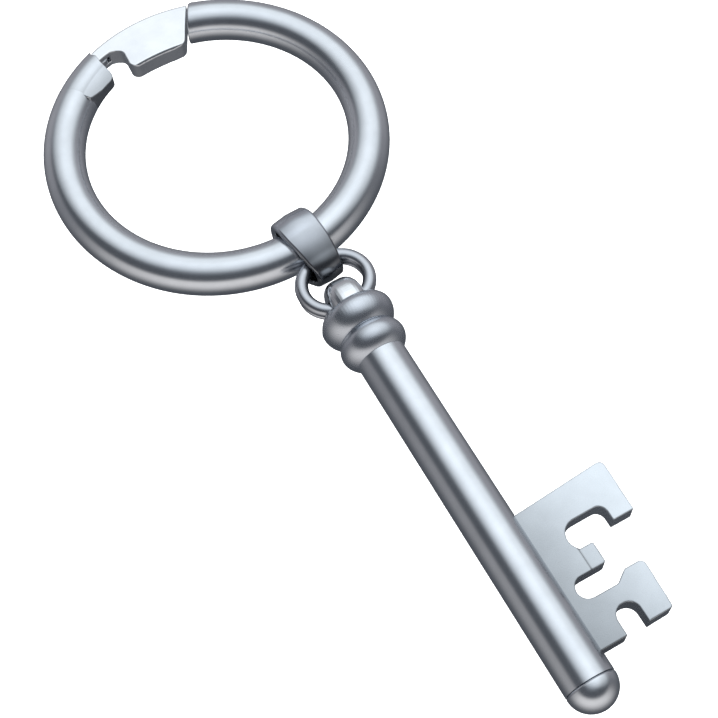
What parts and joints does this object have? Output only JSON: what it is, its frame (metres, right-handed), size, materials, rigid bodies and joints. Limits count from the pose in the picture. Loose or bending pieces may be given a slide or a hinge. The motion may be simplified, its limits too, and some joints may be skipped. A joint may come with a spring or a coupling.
{
  "type": "key on a gate ring",
  "caption": "Skeleton-style key with beaded collars and a notched bit, hung by a flat strap and jump rings on a round-bar ring with a hinged, sprung gate.",
  "frame": {"origin": "centre of the ring, on the middle plane of its bar", "axes": "+Z is the ring's normal towards its front, -Y runs along the key towards its tip, +X points to the side the bit is on"},
  "size_m": [0.05, 0.121, 0.0104],
  "materials": {
    "ring_steel": "satin, lightly brushed round the bar",
    "gate_steel": "satin",
    "pin_steel": "polished",
    "spring_steel": "plain drawn wire",
    "strap_steel": "polished",
    "wire_steel": "polished drawn wire",
    "key_steel": "satin, lightly brushed",
    "bit_steel": "satin, with polished edges"
  },
  "bodies": {
    "ring": {"ring_body": "ring_steel"},
    "gate": {"gate": "gate_steel", "gate_pin": "pin_steel", "gate_spring": "spring_steel"},
    "plunger": {"gate_plunger": "pin_steel"},
    "strap": {"strap": "strap_steel"},
    "jump_front": {"jump_ring_front": "wire_steel"},
    "jump_back": {"jump_ring_back": "wire_steel"},
    "key": {"key_eye": "key_steel", "key_collar_upper": "key_steel", "key_collar_lower": "key_steel", "key_stem": "key_steel", "key_bit": "bit_steel", "key_tip": "key_steel"}
  },
  "joints": [
    {"name": "gate_hinge", "type": "hinge", "parent": "ring", "child": "gate", "pos_m": [-0.00835, 0.02175, 0], "axis": [0, 0, 1], "range_deg": [0, 45], "stiffness_Nm_per_rad": 0.01, "springref_deg": -28.65},
    {"name": "plunger_slide", "type": "slide", "parent": "gate", "child": "plunger", "axis": [0.9511, 0.309, 0], "range_m": [0, 0.0002]},
    {"name": "strap_travel", "type": "hinge", "parent": "ring", "child": "strap", "pos_m": [0, 0, 0], "axis": [0, 0, 1], "range_deg": [-128, 140]},
    {"name": "jump_front_swing", "type": "hinge", "parent": "strap", "child": "jump_front", "pos_m": [0.00317, -0.02581, 0.0008], "axis": [1, 0, 0], "range_deg": [-10, 10]},
    {"name": "jump_back_swing", "type": "hinge", "parent": "strap", "child": "jump_back", "pos_m": [0.00317, -0.02581, 0.0008], "axis": [1, 0, 0], "range_deg": [-10, 10]},
    {"name": "key_swing", "type": "hinge", "parent": "jump_front", "child": "key", "pos_m": [0.00317, -0.03361, 0.0008], "axis": [1, 0, 0], "range_deg": [-45, 45]}
  ],
  "couplings": [
    {"joint": "plunger_slide", "follows": "gate_hinge", "m_per_rad": 0.00025},
    {"joint": "jump_back_swing", "follows": "jump_front_swing", "ratio": 1}
  ]
}
